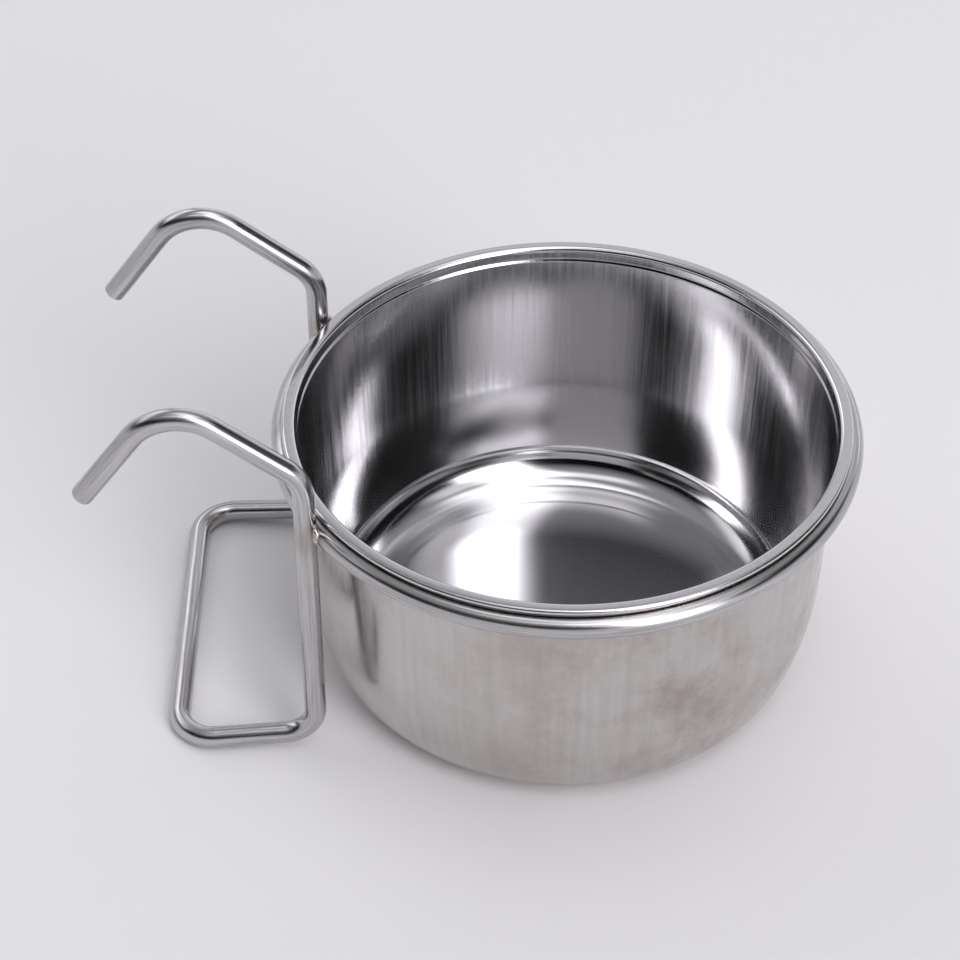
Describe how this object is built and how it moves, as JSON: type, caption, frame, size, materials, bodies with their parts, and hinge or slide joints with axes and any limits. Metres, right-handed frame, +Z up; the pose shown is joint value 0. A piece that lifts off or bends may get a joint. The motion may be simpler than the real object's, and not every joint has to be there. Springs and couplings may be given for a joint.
{
  "type": "hook-on seed cup",
  "caption": "Round metal feeding bowl with a turned lip, resting in a wire ring holder with top hooks and a lower brace loop for cage bars; the bowl lifts out.",
  "frame": {"origin": "on the bowl's axis, at the plane of its foot, which is the table", "axes": "+Z up along the bowl's axis; the hooks and the lower loop are on the -X side; Y runs across from hook to hook"},
  "size_m": [0.1413, 0.1088, 0.0803],
  "materials": {
    "bowl_steel": "stainless sheet, mirror polished inside and on the lip, satin with soft clouding outside",
    "ring_wire": "drawn stainless wire, polished",
    "hanger_wire": "drawn stainless wire, polished, with a little heat tint by the welds",
    "weld": "small welds, wiped, slightly darker than the wire"
  },
  "bodies": {
    "holder": {"support_ring": "ring_wire", "hanger_wire": "hanger_wire", "weld_bead_front": "weld", "weld_bead_back": "weld"},
    "bowl": {"bowl": "bowl_steel"}
  },
  "joints": [
    {"name": "bowl_lift", "type": "slide", "parent": "holder", "child": "bowl", "axis": [0, 0, 1], "range_m": [0, 0.09]}
  ]
}
